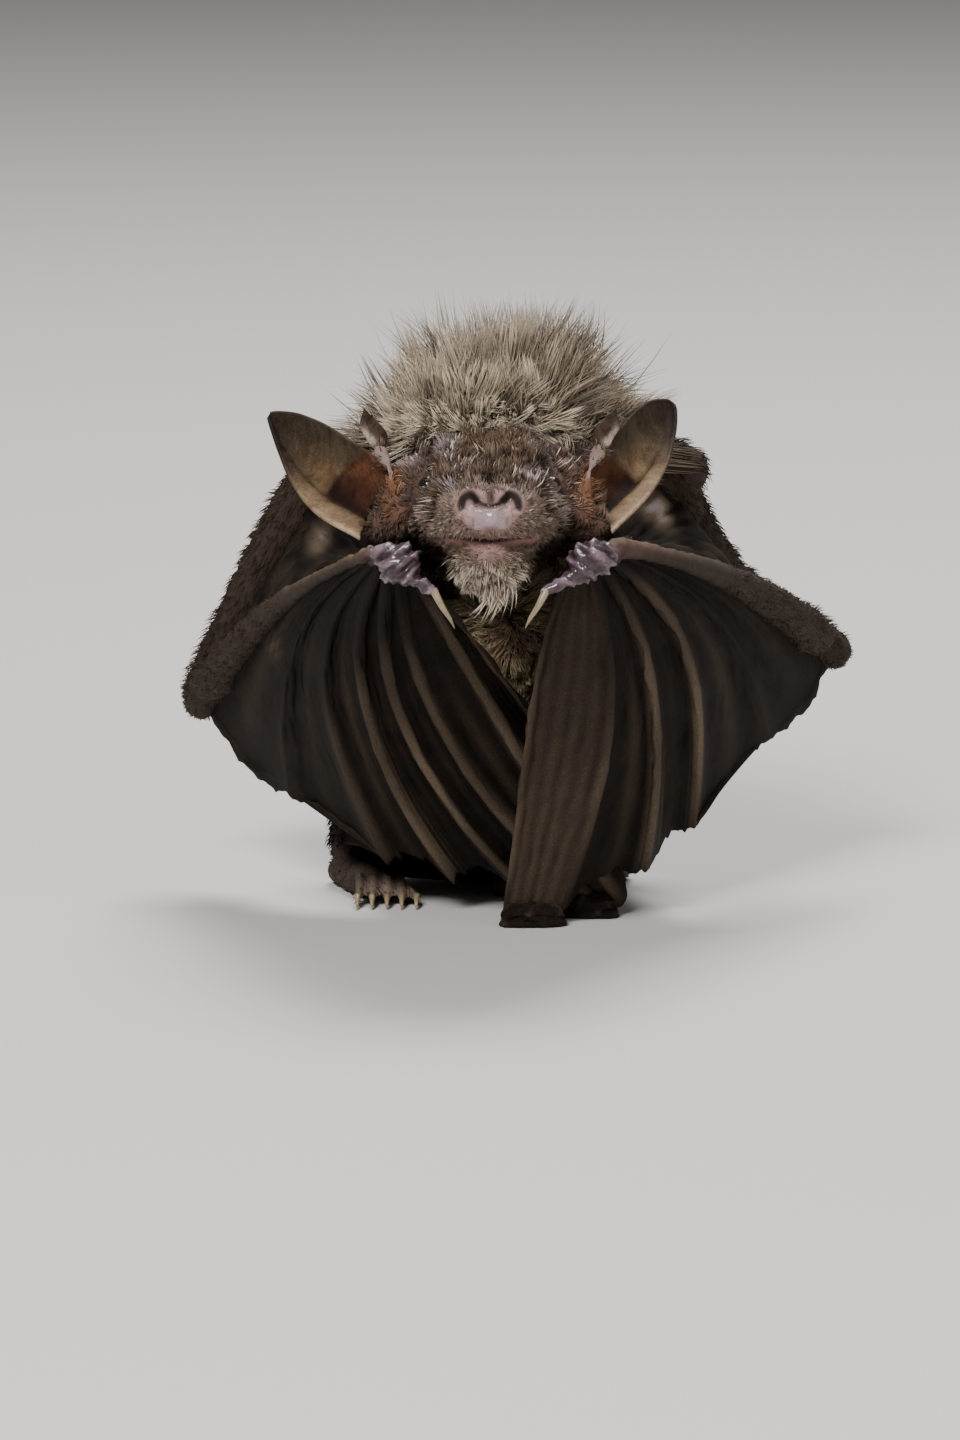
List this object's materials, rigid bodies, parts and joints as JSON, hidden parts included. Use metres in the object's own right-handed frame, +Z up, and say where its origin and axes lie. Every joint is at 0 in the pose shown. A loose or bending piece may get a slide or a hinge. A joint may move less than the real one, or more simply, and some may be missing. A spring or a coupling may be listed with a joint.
{
  "type": "wild bat animal",
  "caption": "Life-size model of a mouse-eared bat that sits upright with folded wings held in front of its body.",
  "frame": {"origin": "middle of the model's footprint at floor level", "axes": "+Z up, the bat faces -Y, its left side is +X"},
  "size_m": [0.0434, 0.0422, 0.0389],
  "materials": {
    "fur": "matte coat",
    "face_fur": "matte short coat",
    "bare_skin": "damp bare skin",
    "ear_skin": "matte bare skin",
    "wing_skin": "matte membrane",
    "claw": "smooth horn",
    "eye": "wet and glossy"
  },
  "bodies": {
    "root": {"arm_wing_left": "wing_skin", "arm_wing_right": "wing_skin", "ear_left": "ear_skin", "ear_right": "ear_skin", "eye_left": "eye", "eye_right": "eye", "finger_tips_left": "wing_skin", "finger_tips_right": "wing_skin", "flank_wing_left": "wing_skin", "flank_wing_right": "wing_skin", "foot_left": "bare_skin", "foot_right": "bare_skin", "forearm_left": "fur", "forearm_right": "fur", "front_web_left": "wing_skin", "front_web_right": "wing_skin", "hand_wing_left": "wing_skin", "hand_wing_right": "wing_skin", "head": "face_fur", "lower_jaw": "face_fur", "neck": "fur", "nose_pad": "bare_skin", "shank_left": "fur", "shank_right": "fur", "tail": "fur", "tail_web_left": "wing_skin", "tail_web_right": "wing_skin", "thigh_left": "fur", "thigh_right": "fur", "thumb_claw_left": "claw", "thumb_claw_right": "claw", "thumb_left": "bare_skin", "thumb_right": "bare_skin", "tragus_left": "ear_skin", "tragus_right": "ear_skin", "trunk": "fur", "upper_arm_left": "fur", "upper_arm_right": "fur", "wrist_left": "bare_skin", "wrist_right": "bare_skin"}
  },
  "joints": []
}
